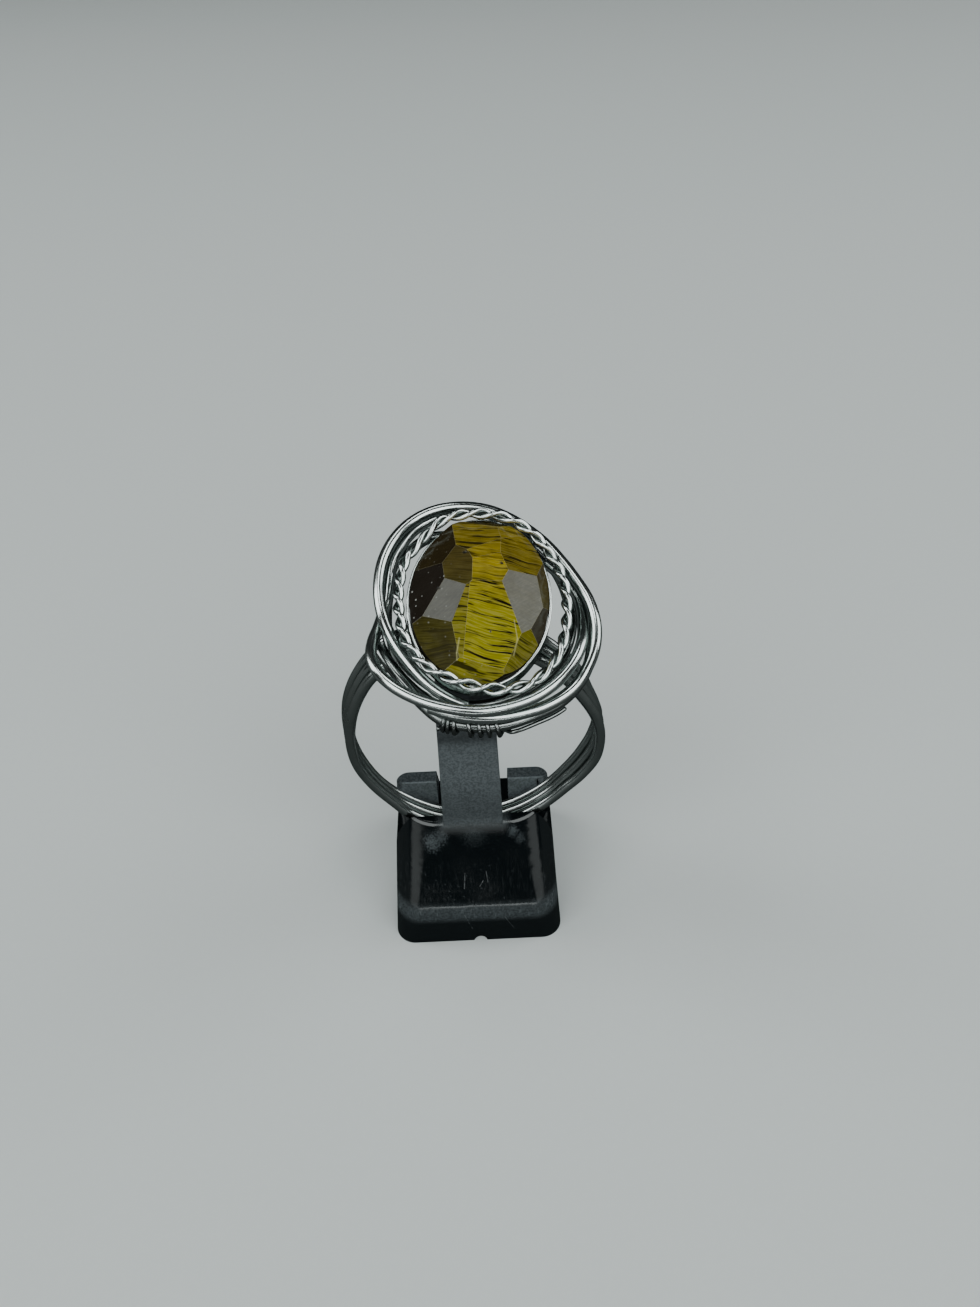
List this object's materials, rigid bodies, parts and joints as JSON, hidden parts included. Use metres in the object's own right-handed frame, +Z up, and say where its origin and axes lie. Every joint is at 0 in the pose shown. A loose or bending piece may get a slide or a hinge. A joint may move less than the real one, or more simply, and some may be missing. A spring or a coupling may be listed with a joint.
{
  "type": "tiger eye ring on a display stand",
  "caption": "Handmade wire ring with an oval faceted tiger eye in a nest of round wire, upright in a small black plastic stand.",
  "frame": {"origin": "middle of the stand's foot, on the surface that it stands on", "axes": "+Z up, -Y towards the front of the stand, where the stone's face tilts, +X to the right seen from the front"},
  "size_m": [0.0209, 0.0181, 0.0349],
  "materials": {
    "tiger_eye": "polished facets with a yellow sheen band",
    "silver": "polished round wire",
    "black_plastic": "moulded, lightly scratched gloss"
  },
  "bodies": {
    "root": {"stone": "tiger_eye", "bezel": "silver", "twist_strand_1": "silver", "twist_strand_2": "silver", "nest_wire_1": "silver", "nest_wire_2": "silver", "nest_wire_3": "silver", "nest_wire_4": "silver", "shank_front": "silver", "shank_middle": "silver", "shank_back": "silver", "binding_wire": "silver", "stand": "black_plastic"}
  },
  "joints": []
}
